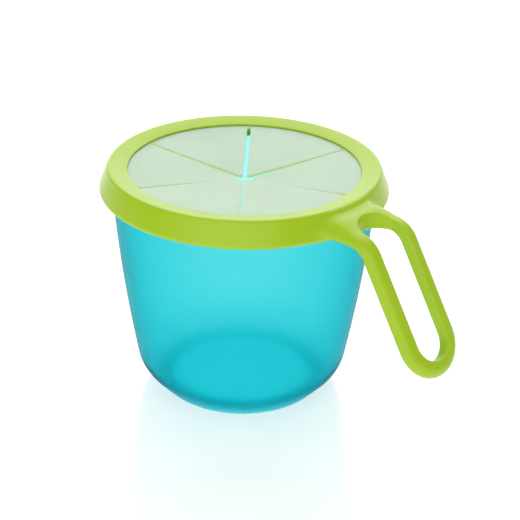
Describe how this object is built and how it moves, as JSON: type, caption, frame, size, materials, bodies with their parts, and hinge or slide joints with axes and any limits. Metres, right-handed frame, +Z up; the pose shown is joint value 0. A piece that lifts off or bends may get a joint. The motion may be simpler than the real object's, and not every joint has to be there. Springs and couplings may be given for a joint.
{
  "type": "snack pot",
  "caption": "Round spill-proof snack pot: a translucent bowl, a push-on collar with a looped handle, and a soft slitted disc whose flaps let a small hand in.",
  "frame": {"origin": "centre of the flat face that the bowl stands on", "axes": "+Z up along the bowl's axis, +X towards the handle"},
  "size_m": [0.1473, 0.1056, 0.0889],
  "materials": {
    "bowl_plastic": "translucent aqua polypropylene, gloss",
    "collar_plastic": "lime green polypropylene, satin gloss",
    "soft_disc": "translucent pale mint thermoplastic elastomer, satin"
  },
  "bodies": {
    "bowl": {"bowl": "bowl_plastic"},
    "lid": {"collar": "collar_plastic", "handle": "collar_plastic", "disc_rim": "soft_disc"},
    "flap_1": {"flap_1": "soft_disc"},
    "flap_2": {"flap_2": "soft_disc"},
    "flap_3": {"flap_3": "soft_disc"},
    "flap_4": {"flap_4": "soft_disc"},
    "flap_5": {"flap_5": "soft_disc"},
    "flap_6": {"flap_6": "soft_disc"}
  },
  "joints": [
    {"name": "lid_lift", "type": "slide", "parent": "bowl", "child": "lid", "axis": [0, 0, 1], "range_m": [0, 0.05]},
    {"name": "flap_1_bend", "type": "hinge", "parent": "lid", "child": "flap_1", "pos_m": [0.02635, 0.02373, 0.08475], "axis": [0.6691, -0.7431, 0], "range_deg": [-45, 70], "stiffness_Nm_per_rad": 0.01},
    {"name": "flap_2_bend", "type": "hinge", "parent": "lid", "child": "flap_2", "pos_m": [-0.00737, 0.03469, 0.08475], "axis": [0.9781, 0.2079, 0], "range_deg": [-45, 70], "stiffness_Nm_per_rad": 0.01},
    {"name": "flap_3_bend", "type": "hinge", "parent": "lid", "child": "flap_3", "pos_m": [-0.03373, 0.01096, 0.08475], "axis": [0.309, 0.9511, 0], "range_deg": [-45, 70], "stiffness_Nm_per_rad": 0.01},
    {"name": "flap_4_bend", "type": "hinge", "parent": "lid", "child": "flap_4", "pos_m": [-0.02635, -0.02373, 0.08475], "axis": [-0.6691, 0.7431, 0], "range_deg": [-45, 70], "stiffness_Nm_per_rad": 0.01},
    {"name": "flap_5_bend", "type": "hinge", "parent": "lid", "child": "flap_5", "pos_m": [0.00737, -0.03469, 0.08475], "axis": [-0.9781, -0.2079, 0], "range_deg": [-45, 70], "stiffness_Nm_per_rad": 0.01},
    {"name": "flap_6_bend", "type": "hinge", "parent": "lid", "child": "flap_6", "pos_m": [0.03373, -0.01096, 0.08475], "axis": [-0.309, -0.9511, 0], "range_deg": [-45, 70], "stiffness_Nm_per_rad": 0.01}
  ]
}
